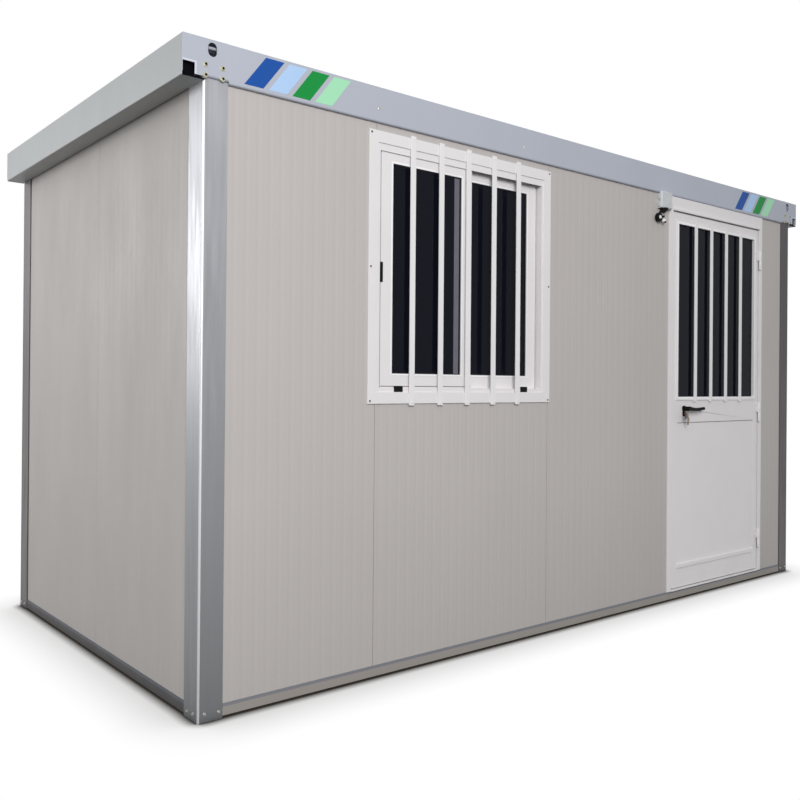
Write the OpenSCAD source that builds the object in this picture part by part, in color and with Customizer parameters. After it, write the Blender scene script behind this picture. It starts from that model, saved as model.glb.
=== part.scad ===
// Office container: a steel-framed cabin of sandwich panels with one window and one door.
// The origin is the middle of the footprint on the ground. +X runs along the length,
// the front wall faces -Y and +Z is up.

/* [Overall] */
// Length over the corner posts
body_len = 3970; // [3600:10:4600]
// Width over the corner posts
body_wid = 2050; // [1700:10:2400]
// Height from the ground to the top of the roof frame
body_high = 2315; // [2280:5:2600]

/* [Wall panels] */
// Thickness of a wall panel
panel_t = 40; // [36:1:60]
// Width of the panel between the left corner and the window
first_panel_w = 736; // [600:4:900]
// Width of one whole panel
module_w = 1000; // [900:10:1150]
// Distance from the front face to the joint in the end walls
end_joint = 978; // [700:4:1200]
// Gap at the joint of two panels
joint_gap = 2; // [1:0.5:4]
// Width and depth of the tongue at a panel's edge
tongue = 12; // [8:1:16]
// Clearance round a tongue in its groove
tongue_gap = 1; // [0.5:0.25:2]
// Distance between the shallow flutes in a panel's outer sheet
flute_pitch = 47; // [30:1:100]
// Width of a flute
flute_w = 23; // [10:1:28]
// Depth of a flute
flute_deep = 0.5; // [0.5:0.25:2]
// Width of a flute's sloping side
flute_slope = 8; // [1:0.5:10]

/* [Base and floor] */
// Height of the base rail
rail_high = 50; // [45:1:70]
// Thickness of the base rail's sheet
rail_sheet = 3; // [2:0.5:4]
// Gap under the base rail
rail_lift = 8; // [0:1:12]
// Height of the sloping shoulder along the rail's top
shoulder = 10; // [4:1:16]
// Thickness left at the top of that shoulder
shoulder_edge = 1; // [0.5:0.25:1.5]
// Distance from the door frame's edge to the joint in the front rail
rail_joint_in = 22; // [10:1:40]
// Thickness of the floor deck
deck_t = 18; // [12:1:24]
// Height of the floor above the top of the base rail
floor_rise = 10; // [8:1:16]
// Number of floor joists
joists = 5; // [3:2:9]
// Width of a floor joist
joist_w = 60; // [40:5:100]

/* [Corner posts] */
// Width of a post's flange on the front and back walls
post_front_w = 92; // [75:1:120]
// Width of a post's flange on the end walls
post_end_w = 108; // [75:1:130]
// Thickness of a post's sheet
post_sheet = 5; // [4:0.5:7]
// Outer radius of a post's bend
post_round = 9; // [6:0.5:12]
// Leg of the angle inside a corner
inner_leg = 40; // [25:1:60]
// Thickness of the angle inside a corner
inner_sheet = 2; // [1:0.5:3]

/* [Roof] */
// Height of the roof frame's face
eave_high = 130; // [110:2:160]
// Drop of the rolled lip under the roof frame's face
lip_drop = 8; // [4:1:14]
// Outer radius of the bend along the bottom of the roof frame's face
lip_round = 8; // [4:0.5:8]
// How far the roof frame stands outside the posts
roof_proud = 8; // [6:1:14]
// Depth of the channel that overhangs each end
overhang = 80; // [60:2:120]
// How far that channel hangs below the roof frame's corners
channel_drop = 11; // [1:1:16]
// Outer radius of that channel's bends
channel_round = 4; // [3.5:0.5:8]
// Thickness of the roof frame's sheet
roof_sheet = 3; // [2:0.5:4]
// Depth of the box that runs along the top of a side wall
beam_deep = 63; // [50:1:80]
// Height of that box
beam_high = 80; // [70:1:88]
// Width of the ledge that carries the roof panel
ledge = 20; // [12:1:30]
// Thickness of the roof panel between its ribs
roof_panel_t = 40; // [30:1:46]
// Height of a roof rib
rib_high = 24; // [15:1:26]
// Width of a roof rib at its foot
rib_foot = 60; // [45:1:80]
// Width of a roof rib at its crest
rib_crest = 26; // [15:1:35]
// Distance between roof ribs
rib_pitch = 250; // [180:5:400]

/* [Roof corners] */
// Width of a lifting slot
slot_w = 33; // [26:1:38]
// Height of a lifting slot
slot_high = 48; // [42:1:54]
// Distance from the post's end face to the middle of a lifting slot
slot_in = 30; // [26:1:40]
// Distance from the top edge to the middle of a lifting slot
slot_down = 34; // [32:1:38]
// Width of the outlet at the end of a channel
outlet = 43; // [30:1:46]
// Height of that outlet
outlet_high = 38; // [30:1:46]
// Diameter of the lifting bar behind a slot
bar_d = 12; // [8:1:14]
// Height of that bar above the middle of the slot
bar_up = 11; // [6:1:14]
// Distance from the front face to the middle of that bar
bar_in = 12; // [10:1:24]

/* [Window] */
// Height of the wall left over the window
window_drop = 111; // [100:1:300]
// Height of the wall opening
window_high = 1025; // [800:5:1040]
// Distance from the middle of the window's panel to the middle of the window
window_shift = -15; // [-20:1:20]
// How far the window's flange laps over the wall
flange_lap = 24; // [20:1:40]
// Width of the flange's raised face
flange_w = 46; // [44:1:60]
// Thickness of the flange
flange_t = 6; // [4:0.5:8]
// Clearance of the window frame in the wall opening
window_fit = 1; // [0.5:0.25:3]
// How far the window frame stands outside the wall's face
window_proud = 2; // [0:0.5:4]
// Depth of the window frame
window_deep = 58; // [56:1:70]
// Setback of the outer sash from the wall's face
sash_set = 3; // [2:0.5:6]
// Width of the rib between the tracks
track_rib = 2; // [1:0.5:4]
// Width of the window frame's side members
frame_side = 34; // [32:1:42]
// Height of the window frame's head
frame_head = 51; // [44:1:60]
// Height of the window frame's sill
frame_sill = 38; // [36:1:50]
// Depth of the tracks in the head
track_deep = 22; // [14:1:26]
// Width of a sash's members
sash_w = 58; // [45:1:65]
// Thickness of a sash
sash_t = 20; // [16:1:22]
// Clearance of a sash in its track
sash_gap = 2; // [1:0.5:3]
// Gap beside a sash in the frame
sash_side_gap = 8; // [2:0.5:12]
// Thickness of the glass
glass_t = 5; // [4:0.5:6]
// Depth of the glass's edge in its sash
glass_edge = 8; // [5:1:12]

/* [Security bars] */
// Number of bars on the window
window_bars = 5; // [3:1:7]
// Distance between the window's bars
window_bar_pitch = 153; // [100:1:160]
// Number of bars on the door
door_bars = 4; // [2:1:6]
// Distance between the door's bars
door_bar_pitch = 154; // [100:1:180]
// Width of a bar
bar_w = 27; // [15:1:35]
// Thickness of a bar
bar_t = 5; // [3:0.5:8]
// How far a bar runs past what it is fixed to
bar_over = 8; // [4:1:12]

/* [Door frame] */
// Distance from the door frame to the right end
door_end = 322; // [200:2:600]
// Width over the door frame
door_w = 960; // [900:1:1000]
// Width of a jamb's face
jamb_w = 36; // [34:1:60]
// How far the frame's face laps over the wall
jamb_lap = 12; // [8:1:20]
// How far the frame's face stands outside the posts
jamb_proud = 3; // [2:0.5:5]
// Height of the door frame's head
head_high = 130; // [120:2:170]
// Thickness of the sill
sill_t = 8; // [4:1:14]
// How far the sill's nose stands outside the door frame
sill_nose = 5; // [0:1:10]
// Width of the stop behind the leaf
stop_w = 15; // [10:1:25]
// Thickness of the stop
stop_t = 6; // [4:0.5:7]
// Depth of the drip nose under the head
drip = 8; // [5:1:12]
// Height of the drip nose
drip_high = 12; // [8:1:16]

/* [Door leaf] */
// Thickness of the leaf
leaf_t = 36; // [30:1:36]
// Clearance beside the leaf
leaf_side_gap = 7; // [6:0.5:9]
// Clearance above and below the leaf
leaf_end_gap = 5; // [5:0.5:8]
// How far the leaf's face is set back from the frame's
leaf_set = 4; // [2:0.5:5]
// Width of the leaf's stiles
stile_w = 46; // [45:1:75]
// Height of the leaf's top rail
top_rail = 61; // [40:1:80]
// Height of the leaf's bottom rail
bottom_rail = 105; // [80:1:150]
// Underside of the lock rail above the ground
lock_rail_z = 957; // [900:1:980]
// Height of the lock rail
lock_rail = 140; // [120:1:180]
// Width of the bead round the door's glass
bead_w = 20; // [15:1:30]
// How far the bead stands out from the leaf's face
bead_proud = 4; // [2:0.5:6]
// Setback of the lower panel from the leaf's face
infill_set = 3; // [2:0.5:6]
// Thickness of the lower panel
infill_t = 28; // [20:1:28]
// Height of the moulding at the foot of the lower panel
moulding = 20; // [15:1:30]
// How far the moulding stands out
moulding_proud = 7; // [4:1:10]
// Setback of the door's glass from the leaf's face
door_glass_set = 12; // [4:1:12]

/* [Hinges] */
// Height of a hinge
hinge_high = 110; // [80:2:140]
// Middle of the lowest hinge above the ground
hinge_low = 246; // [200:2:320]
// Middle of the second hinge above the ground
hinge_middle = 1002; // [900:2:1100]
// Distance from the underside of the head to the middle of the top hinge
hinge_drop = 187; // [130:1:260]
// Diameter of a hinge barrel
barrel_d = 14; // [12:0.5:18]
// Diameter of a hinge pin
pin_d = 8; // [6:0.5:9]
// Radial clearance of a pin
pin_gap = 0.05; // [0.02:0.01:0.1]
// Gap between the two knuckles of a hinge
knuckle_gap = 1; // [0.5:0.25:2]
// Gap between a barrel and the door frame's face
barrel_gap = 1; // [0.5:0.25:2]
// Width of the web from a barrel to its leaf plate
web_w = 8; // [6:0.5:10]
// Distance from the top of a pin to the top of its hinge
pin_short = 1; // [0.5:0.5:3]
// Width of a hinge plate
plate_w = 24; // [24:1:40]
// Thickness of a hinge plate
plate_t = 3; // [2:0.5:4]

/* [Lock] */
// Distance from the leaf's edge to the spindle
backset = 106; // [80:1:130]
// Height of the spindle above the ground
lever_z = 1033; // [1020:1:1060]
// Length of the lever
lever_len = 145; // [100:1:170]
// Height of the lever's grip by its neck
lever_high = 20; // [14:1:26]
// Height of the grip near its tip
tip_high = 15; // [10:1:20]
// How far the grip sags between its neck and its tip
lever_sag = 5; // [0:0.5:10]
// Thickness of the lever's grip
lever_t = 12; // [9:1:16]
// Distance from the leaf's face to the lever's grip
lever_out = 30; // [24:1:50]
// Diameter of the lever's neck
neck_d = 24; // [18:1:28]
// Diameter of the spindle
spindle_d = 10; // [8:0.5:12]
// Radial clearance of the spindle
spindle_gap = 0.05; // [0.02:0.01:0.1]
// Diameter of the lock's plate round the spindle
plate_wide = 32; // [28:1:50]
// Diameter of the lock's plate round the key's cylinder
plate_foot = 25; // [22:1:40]
// Distance from the spindle to the key's cylinder
cylinder_drop = 30; // [27:1:60]
// Thickness of the lock's plate
lock_plate_t = 7; // [5:0.5:9]
// Diameter of the key's cylinder
cylinder_d = 17; // [14:1:22]
// How far that cylinder stands out from its plate
cylinder_out = 5; // [2:0.5:8]
// Gap between the lock's plate and the lever's neck
neck_gap = 1; // [0.5:0.25:2]

/* [Power inlet] */
// Width of the inlet's box
inlet_w = 98; // [70:1:140]
// Height of the box under the roof frame's lip
inlet_high = 78; // [60:1:140]
// Depth of the box in front of the wall panel
inlet_deep = 30; // [24:1:60]
// Distance from the box to the door frame
inlet_gap = 3; // [3:1:60]
// Distance from the box to the roof frame's lip
inlet_drop = 2; // [1:0.5:20]
// How far the box's front part rises in front of the roof frame's face
hood_rise = 10; // [0:1:20]
// Radius of the box's top and bottom edges
inlet_round = 8; // [3:1:10]
// Radius of the box's upright edges
inlet_side_round = 8; // [3:1:14]
// Width of a hinge lug on the box's side
lug_w = 14; // [10:1:18]
// Height of a hinge lug
lug_high = 26; // [16:1:30]
// How far a lug stands out from the box's side
lug_out = 4; // [2:0.5:8]
// Diameter of the spout under the box
spout_d = 28; // [20:1:30]
// Diameter of the spout's lower end
spout_tip = 13; // [8:1:20]
// Length of the spout
spout_len = 20; // [12:1:50]
// Distance from the box's side to the middle of the spout
spout_in = 28; // [16:1:60]
// Diameter of the cap that hangs beside the spout
cap_d = 46; // [30:1:56]
// Thickness of that cap
cap_t = 14; // [8:1:20]
// Diameter of the recess in the cap's face
cap_hole = 26; // [16:1:28]
// Depth of that recess
cap_hole_deep = 5; // [2:0.5:8]
// Distance from the box's underside to the middle of the cap
cap_drop = 52; // [34:1:80]
// Distance from the middle of the spout to the middle of the cap
cap_side = 34; // [0:1:40]
// Width of the strap that the cap hangs from
strap_w = 16; // [8:1:20]
// Thickness of that strap
strap_t = 5; // [3:0.5:6]

/* [Hidden] */
$fn = 48;

// Panels sit behind the posts' flanges, so their face is one sheet back.
face = post_sheet;
wall_in = face + panel_t;
rail_in = wall_in + rail_sheet;
floor_z = rail_high + floor_rise;
panel_z = rail_lift + rail_sheet;
eave_z = body_high - eave_high;
lip_z = eave_z - lip_drop;
wall_top = body_high - beam_high;
roof_z = wall_top;
frame_top = wall_top - roof_sheet;
beam_in = beam_deep - roof_proud;

window_x = first_panel_w;
window_w = module_w;
window_mid = window_x + window_w / 2 + window_shift;
window_z = wall_top - window_drop - window_high;
middle_x = window_x + window_w;
head_z = frame_top - head_high;
door_x = body_len - door_end - door_w;
door_right = door_x + door_w;
leaf_x = door_x + jamb_w + leaf_side_gap;
leaf_w = door_w - 2 * (jamb_w + leaf_side_gap);
leaf_z = rail_high + sill_t + leaf_end_gap;
leaf_high = head_z - leaf_end_gap - leaf_z;
leaf_y = leaf_set - jamb_proud;
leaf_end = leaf_x + leaf_w;
jamb_in = rail_in;
glazing_z = lock_rail_z + lock_rail;
glazing_high = leaf_z + leaf_high - top_rail - glazing_z;
glazing_w = leaf_w - 2 * stile_w;
infill_z = leaf_z + bottom_rail;
infill_high = lock_rail_z - infill_z;
hinge_z = [hinge_low, hinge_middle, head_z - hinge_drop];
hinge_x = leaf_end + leaf_side_gap / 2;
hinge_y = -jamb_proud - barrel_d / 2 - barrel_gap;
lever_x = leaf_x + backset;

steel = [0.62, 0.64, 0.68];
beige = [0.73, 0.71, 0.67];
white = [0.88, 0.87, 0.86];
dark = [0.1, 0.1, 0.12];

// Puts a shape drawn from the front left corner, with y inwards, into the frame of the building.
module front() translate([-body_len / 2, -body_wid / 2, 0]) children();
module back() rotate([0, 0, 180]) front() children();
// Draws a shape at the left end and its mirror image at the right end.
module both_ends() for (side = [0, 1]) mirror([side, 0, 0]) front() children();
module slab(x, y, z, dx, dy, dz) translate([x, y, z]) cube([dx, dy, dz]);
// Extrudes a profile drawn in y and z along x.
module along_x(x, len) translate([x, 0, 0]) rotate([90, 0, 90]) linear_extrude(len) children();
// Extrudes a profile drawn in x and z along y.
module along_y(y, len) translate([0, y + len, 0]) rotate([90, 0, 0]) linear_extrude(len) children();

// ---------- base and floor ----------
// The rail is a channel that holds the feet of the wall panels.
module rail_profile() difference() {
    polygon([[face - rail_sheet, rail_lift], [face - rail_sheet, rail_high - shoulder],
        [face - shoulder_edge, rail_high], [rail_in, rail_high], [rail_in, rail_lift]]);
    translate([face, panel_z]) square([panel_t, rail_high]);
}
module side_rail(x, x_end) along_x(x, x_end - x) rail_profile();
// The front rail has a joint under the door frame, where the threshold's length of rail starts.
module base_side_rails() color(steel) {
    joint = door_x + rail_joint_in;
    front() side_rail(post_front_w, joint - joint_gap / 2);
    front() side_rail(joint + joint_gap / 2, body_len - post_front_w);
    back() side_rail(post_front_w, body_len - post_front_w);
}
module base_end_rails() color(steel) both_ends()
    along_y(post_end_w, body_wid - 2 * post_end_w) rail_profile();
module floor_joists() color(steel) {
    span = body_wid - 2 * rail_in;
    step = (body_len - 2 * rail_in - joist_w) / (joists - 1);
    for (i = [0:joists - 1]) front()
        slab(rail_in + i * step, rail_in, 0, joist_w, span, floor_z - deck_t);
}
module floor_deck() color([0.45, 0.36, 0.28]) front()
    slab(rail_in, rail_in, floor_z - deck_t, body_len - 2 * rail_in, body_wid - 2 * rail_in, deck_t);

// ---------- corner posts ----------
module bent_angle(dx, dy, t, r) difference() {
    union() {
        translate([r, r]) circle(r);
        translate([r, 0]) square([dx - r, dy]);
        translate([0, r]) square([dx, dy - r]);
    }
    translate([t, t]) square([dx, dy]);
}
module corner_post() {
    linear_extrude(eave_z) bent_angle(post_front_w, post_end_w, post_sheet, post_round);
    translate([wall_in, wall_in, floor_z]) linear_extrude(wall_top - floor_z) difference() {
        square(inner_leg);
        translate([inner_sheet, inner_sheet]) square(inner_leg);
    }
}
module corner_post_front_left() color(steel) front() corner_post();
module corner_post_front_right() color(steel) mirror([1, 0, 0]) front() corner_post();
module corner_post_back_left() color(steel) mirror([0, 1, 0]) front() corner_post();
module corner_post_back_right() color(steel) back() corner_post();

// ---------- wall panels ----------
// A flute's four points, drawn along the outer edge of a panel's plan.
function flute(x) = [[x - flute_w / 2, 0], [x - flute_w / 2 + flute_slope, flute_deep],
    [x + flute_w / 2 - flute_slope, flute_deep], [x + flute_w / 2, 0]];
// A panel's plan, with a tongue at its far edge and a groove at its near edge where asked.
module panel_plan(w, with_tongue, with_groove) {
    difference() {
        polygon(concat(
            [[0, panel_t], [0, 0]],
            [for (x = [flute_pitch / 2:flute_pitch:w - flute_pitch / 2], p = flute(x)) p],
            [[w, 0], [w, panel_t]]));
        if (with_groove) translate([-joint_gap, (panel_t - tongue) / 2 - tongue_gap])
            square([tongue + joint_gap + 2 * tongue_gap, tongue + 2 * tongue_gap]);
    }
    if (with_tongue) translate([w - 1, (panel_t - tongue) / 2]) square([tongue + joint_gap + 1, tongue]);
}
module wall_panel(x, w, z, high, with_tongue = false, with_groove = false)
    translate([x, face, z]) linear_extrude(high) panel_plan(w, with_tongue, with_groove);
module full_panel(x, x_end, with_tongue = false, with_groove = false)
    wall_panel(x, x_end - x, panel_z, wall_top - panel_z, with_tongue, with_groove);

module window_hole() slab(window_x, 0, window_z, window_w, wall_in + 1, window_high);
module front_panel_left() color(beige) front() difference() {
    full_panel(face, window_x - joint_gap / 2, with_tongue = true);
    window_hole();
}
module front_panel_under_window() color(beige) front()
    wall_panel(window_x + joint_gap / 2, window_w - joint_gap, panel_z, window_z - panel_z, true, true);
module front_panel_over_window() color(beige) front()
    wall_panel(window_x + joint_gap / 2, window_w - joint_gap, window_z + window_high,
        wall_top - window_z - window_high, true, true);
module front_panel_middle() color(beige) front()
    full_panel(middle_x + joint_gap / 2, door_x + jamb_lap, with_groove = true);
module front_panel_right() color(beige) front() full_panel(door_right - jamb_lap, body_len - face);

back_w = (body_len - 2 * face) / 4;
module back_panel(i) color(beige) back() full_panel(face + i * back_w + (i > 0 ? joint_gap / 2 : 0),
    face + (i + 1) * back_w - (i < 3 ? joint_gap / 2 : 0), i < 3, i > 0);
module back_panel_1() back_panel(0);
module back_panel_2() back_panel(1);
module back_panel_3() back_panel(2);
module back_panel_4() back_panel(3);

// An end wall's panels stand between the front and back walls.
module end_panels() translate([0, 0, panel_z]) linear_extrude(wall_top - panel_z)
    translate([face, 0]) mirror([1, -1]) {
        translate([wall_in, 0]) panel_plan(end_joint - joint_gap / 2 - wall_in, true, false);
        translate([end_joint + joint_gap / 2, 0])
            panel_plan(body_wid - wall_in - end_joint - joint_gap / 2, false, true);
    }
module left_end_panels() color(beige) front() end_panels();
module right_end_panels() color(beige) mirror([1, 0, 0]) front() end_panels();

// ---------- roof ----------
// The beam's section: a box on top of the wall, and a face that comes down over the wall.
module beam_profile(bottom) {
    difference() {
        translate([-roof_proud, wall_top]) square([beam_deep, beam_high]);
        beam_hollow();
    }
    translate([-roof_proud, bottom + lip_round]) square([roof_sheet, wall_top - bottom - lip_round + 1]);
    translate([lip_round - roof_proud, bottom]) square([roof_proud + face - lip_round, roof_sheet]);
    translate([lip_round - roof_proud, bottom + lip_round]) intersection() {
        difference() {
            circle(lip_round);
            circle(lip_round - roof_sheet);
        }
        translate([-lip_round, -lip_round]) square(lip_round);
    }
}
module beam_hollow() translate([roof_sheet - roof_proud, wall_top + roof_sheet])
    square([beam_deep - 2 * roof_sheet, beam_high - 2 * roof_sheet]);
// Between the corners a ledge inside the beam carries the roof panel.
module roof_beam() along_x(post_front_w, body_len - 2 * post_front_w) {
    beam_profile(lip_z);
    translate([wall_in, wall_top - roof_sheet]) square([beam_in - wall_in + ledge, roof_sheet]);
}
module roof_beam_front() color(steel) front() roof_beam();
module roof_beam_back() color(steel) back() roof_beam();

// A rectangle whose two corners on the left are round.
module nosed(w, high, r) {
    translate([r, 0]) square([w - r, high]);
    translate([0, r]) square([w, high - 2 * r]);
    for (z = [r, high - r]) translate([r, z]) circle(r);
}
// The channel closes an end above the posts and overhangs it.
module end_channel()
    along_y(roof_sheet - roof_proud, body_wid + 2 * (roof_proud - roof_sheet)) difference() {
    bottom = eave_z - channel_drop;
    high = body_high - bottom;
    union() {
        translate([-overhang, bottom]) nosed(overhang, high, channel_round);
        translate([-1, eave_z]) square([face + 1, eave_high]);
    }
    translate([roof_sheet - overhang, bottom + roof_sheet])
        nosed(overhang - 2 * roof_sheet, high - 2 * roof_sheet, channel_round - roof_sheet);
    translate([-2 * roof_sheet, eave_z + roof_sheet])
        square([face + roof_sheet, eave_high - 2 * roof_sheet]);
}
module end_channel_left() color(steel) front() end_channel();
module end_channel_right() color(steel) mirror([1, 0, 0]) front() end_channel();

module lifting_slot() translate([slot_in, 1, body_high - slot_down]) rotate([90, 0, 0])
    linear_extrude(roof_proud + 2) {
        square([slot_w, slot_high - slot_w], center = true);
        for (s = [-1, 1]) translate([0, s * (slot_high - slot_w) / 2]) circle(slot_w / 2);
    }
module roof_corner() {
    difference() {
        union() {
            along_x(face, post_front_w - face) beam_profile(eave_z);
            along_y(-roof_proud, roof_sheet) translate([-overhang, eave_z])
                nosed(overhang + face + 1, eave_high, channel_round);
            for (x = [face, post_front_w - roof_sheet]) along_x(x, roof_sheet) beam_hollow();
        }
        lifting_slot();
        slab(roof_sheet - overhang, -roof_proud - 1, eave_z - 1, outlet, roof_sheet + 2, outlet_high + 1);
    }
    translate([face + 1, bar_in, body_high - slot_down + bar_up]) rotate([0, 90, 0])
        cylinder(d = bar_d, h = post_front_w - face - 2);
}
module roof_corners_front() color(steel) both_ends() roof_corner();
module roof_corners_back() color(steel) mirror([0, 1, 0]) both_ends() roof_corner();

// The roof panel's ribs run along the length, so rain leaves at the ends.
module roof_panel() color([0.7, 0.72, 0.74]) front() {
    ribs = floor((body_wid - 2 * beam_in - rib_foot) / rib_pitch);
    first_rib = (body_wid - ribs * rib_pitch) / 2;
    top = roof_z + roof_panel_t;
    rib = [[-rib_foot, 0], [-rib_crest, rib_high], [rib_crest, rib_high], [rib_foot, 0]];
    along_x(face, body_len - 2 * face) polygon(concat(
        [[body_wid - beam_in, roof_z], [beam_in, roof_z], [beam_in, top]],
        [for (i = [0:ribs], p = rib) [first_rib + i * rib_pitch + p[0] / 2, top + p[1]]],
        [[body_wid - beam_in, top]]));
}

// ---------- window ----------
light_w = window_w - 2 * frame_side;
light_x = window_mid - light_w / 2;
flange_long = window_w + 2 * flange_lap;
flange_high = window_high + 2 * flange_lap;
light_z = window_z + frame_sill;
light_high = window_high - frame_sill - frame_head;
outer_y = face + sash_set;
inner_y = outer_y + sash_t + 2 * sash_gap + track_rib;
module tracks(y) slab(light_x, y - sash_gap, light_z, light_w, sash_t + 2 * sash_gap,
    light_high + track_deep);
module window_frame() color(white) front() {
    difference() {
        union() {
            slab(window_x + window_fit, face - window_proud, window_z + window_fit,
                window_w - 2 * window_fit, window_deep, window_high - 2 * window_fit);
            difference() {
                slab(window_mid - flange_long / 2, face - flange_t, window_z - flange_lap,
                    flange_long, flange_t, flange_high);
                slab(window_mid - flange_long / 2 + flange_w, face - flange_t - 1,
                    window_z - flange_lap + flange_w, flange_long - 2 * flange_w, flange_t + 2,
                    flange_high - 2 * flange_w);
            }
        }
        slab(light_x, -flange_t, light_z, light_w, window_deep + 2 * flange_t, light_high);
        tracks(outer_y);
        tracks(inner_y);
    }
}
sash_high = light_high + track_deep - 2 * sash_gap;
sash_width = (light_w - 2 * sash_side_gap + sash_w) / 2;
module pane(x, y, z, w, high) slab(x + sash_w - glass_edge, y + (sash_t - glass_t) / 2,
    z + sash_w - glass_edge, w - 2 * (sash_w - glass_edge), glass_t, high - 2 * (sash_w - glass_edge));
module sash(x, y) difference() {
    slab(x, y, light_z, sash_width, sash_t, sash_high);
    slab(x + sash_w, y - 1, light_z + sash_w, sash_width - 2 * sash_w, sash_t + 2, sash_high - 2 * sash_w);
    pane(x, y, light_z, sash_width, sash_high);
}
left_sash_x = light_x + sash_side_gap;
right_sash_x = light_x + light_w - sash_side_gap - sash_width;
module window_sash_left() color(white) front() sash(left_sash_x, outer_y);
module window_sash_right() color(white) front() sash(right_sash_x, inner_y);
module window_glass() color(dark) front() {
    pane(left_sash_x, outer_y, light_z, sash_width, sash_high);
    pane(right_sash_x, inner_y, light_z, sash_width, sash_high);
}
module bars(count, pitch, middle, y, z, high) for (i = [0:count - 1])
    slab(middle + (i - (count - 1) / 2) * pitch - bar_w / 2, y - bar_t, z - bar_over, bar_w, bar_t,
        high + 2 * bar_over);
module window_grille() color(white) front() bars(window_bars, window_bar_pitch, window_mid,
    face - flange_t, window_z - flange_lap, flange_high);

// ---------- door frame ----------
module jamb() {
    slab(0, -jamb_proud, rail_high, jamb_w, jamb_proud + face, lip_z - rail_high);
    slab(jamb_lap, face, rail_high, jamb_w - jamb_lap, jamb_in - face, frame_top - rail_high);
    slab(jamb_lap, jamb_in - stop_t, rail_high, jamb_w - jamb_lap + stop_w, stop_t, frame_top - rail_high);
}
module door_jambs() color(white) front() {
    translate([door_x, 0, 0]) jamb();
    translate([door_right, 0, 0]) mirror([1, 0, 0]) jamb();
}
module door_head() color(white) front() {
    w = door_w - 2 * jamb_w;
    x = door_x + jamb_w;
    slab(x, -jamb_proud, head_z, w, jamb_proud + face, lip_z - head_z);
    slab(x, face, head_z, w, jamb_in - stop_t - face, head_high);
    slab(x, -jamb_proud - drip, head_z, w, drip, drip_high);
    slab(x + stop_w, face, head_z, w - 2 * stop_w, jamb_in - face, head_high);
    slab(x + stop_w, jamb_in - stop_t, head_z - stop_w, w - 2 * stop_w, stop_t, stop_w + 1);
}
module door_sill() color(white) front() {
    w = door_w - 2 * jamb_w;
    x = door_x + jamb_w;
    slab(x, -jamb_proud - sill_nose, rail_high, w, jamb_in - stop_t + jamb_proud + sill_nose, sill_t);
    slab(x + stop_w, -jamb_proud, rail_high, w - 2 * stop_w, jamb_in + jamb_proud, sill_t);
}

// ---------- door leaf ----------
module door_leaf() color(white) front() {
    difference() {
        union() {
            slab(leaf_x, leaf_y, leaf_z, leaf_w, leaf_t, leaf_high);
            slab(leaf_x + stile_w - bead_w, leaf_y - bead_proud, glazing_z - bead_w, glazing_w + 2 * bead_w,
                bead_proud + 1, glazing_high + 2 * bead_w);
        }
        slab(leaf_x + stile_w, leaf_y - bead_proud - 1, glazing_z, glazing_w, leaf_t + bead_proud + 2,
            glazing_high);
        slab(leaf_x + stile_w, leaf_y - 1, infill_z, glazing_w, leaf_t + 2, infill_high);
        door_pane();
        door_board();
        translate([lever_x, leaf_y - 1, lever_z]) rotate([-90, 0, 0])
            cylinder(d = spindle_d + 2 * spindle_gap, h = leaf_t + 2);
    }
    slab(leaf_x + stile_w, leaf_y - moulding_proud, infill_z, glazing_w,
        moulding_proud + infill_set, moulding);
}
module door_pane() slab(leaf_x + stile_w - glass_edge, leaf_y + door_glass_set, glazing_z - glass_edge,
    glazing_w + 2 * glass_edge, glass_t, glazing_high + 2 * glass_edge);
module door_board() slab(leaf_x + stile_w - glass_edge, leaf_y + infill_set, infill_z - glass_edge,
    glazing_w + 2 * glass_edge, infill_t, infill_high + 2 * glass_edge);
module door_glass() color(dark) front() door_pane();
module door_infill() color(white) front() door_board();
module door_grille() color(white) front() bars(door_bars, door_bar_pitch, leaf_x + leaf_w / 2,
    leaf_y - bead_proud, glazing_z - bead_w, glazing_high + 2 * bead_w);

// ---------- hinges ----------
knuckle = (hinge_high - knuckle_gap) / 2;
module at_hinges() for (z = hinge_z) translate([hinge_x, hinge_y, z - hinge_high / 2]) children();
module door_hinges() color(white) front() at_hinges() {
    cylinder(d = barrel_d, h = knuckle);
    cylinder(d = pin_d, h = hinge_high - pin_short);
    difference() {
        slab(0, -hinge_y - jamb_proud - plate_t, 0, plate_w, plate_t, hinge_high);
        translate([0, 0, knuckle]) cylinder(d = barrel_d + 2 * knuckle_gap, h = hinge_high);
    }
}
module door_hinge_leaves() color(white) front() at_hinges() difference() {
    union() {
        translate([0, 0, knuckle + knuckle_gap]) cylinder(d = barrel_d, h = knuckle);
        slab(-barrel_d / 2 - web_w / 2, 0, knuckle + knuckle_gap, web_w, leaf_y - hinge_y, knuckle);
        slab(-plate_w - leaf_side_gap / 2, leaf_y - hinge_y - plate_t, knuckle + knuckle_gap,
            plate_w, plate_t, knuckle);
    }
    translate([0, 0, knuckle]) cylinder(d = pin_d + 2 * pin_gap, h = hinge_high);
}

// ---------- lock ----------
module lock_plate(t) linear_extrude(t) {
    circle(d = plate_wide);
    translate([0, -cylinder_drop]) circle(d = plate_foot);
    translate([-plate_foot / 2, -cylinder_drop]) square([plate_foot, cylinder_drop]);
}
module at_spindle(y) translate([lever_x, y, lever_z]) rotate([90, 0, 0]) children();
module door_lock() color(dark) front() {
    difference() {
        union() {
            at_spindle(leaf_y) lock_plate(lock_plate_t);
            at_spindle(leaf_y + leaf_t + lock_plate_t) lock_plate(lock_plate_t);
            translate([0, 0, -cylinder_drop]) at_spindle(leaf_y)
                cylinder(d = cylinder_d, h = lock_plate_t + cylinder_out);
        }
        at_spindle(leaf_y + leaf_t + lock_plate_t + 1)
            cylinder(d = spindle_d + 2 * spindle_gap, h = leaf_t + 2 * lock_plate_t + 2);
    }
}
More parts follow.
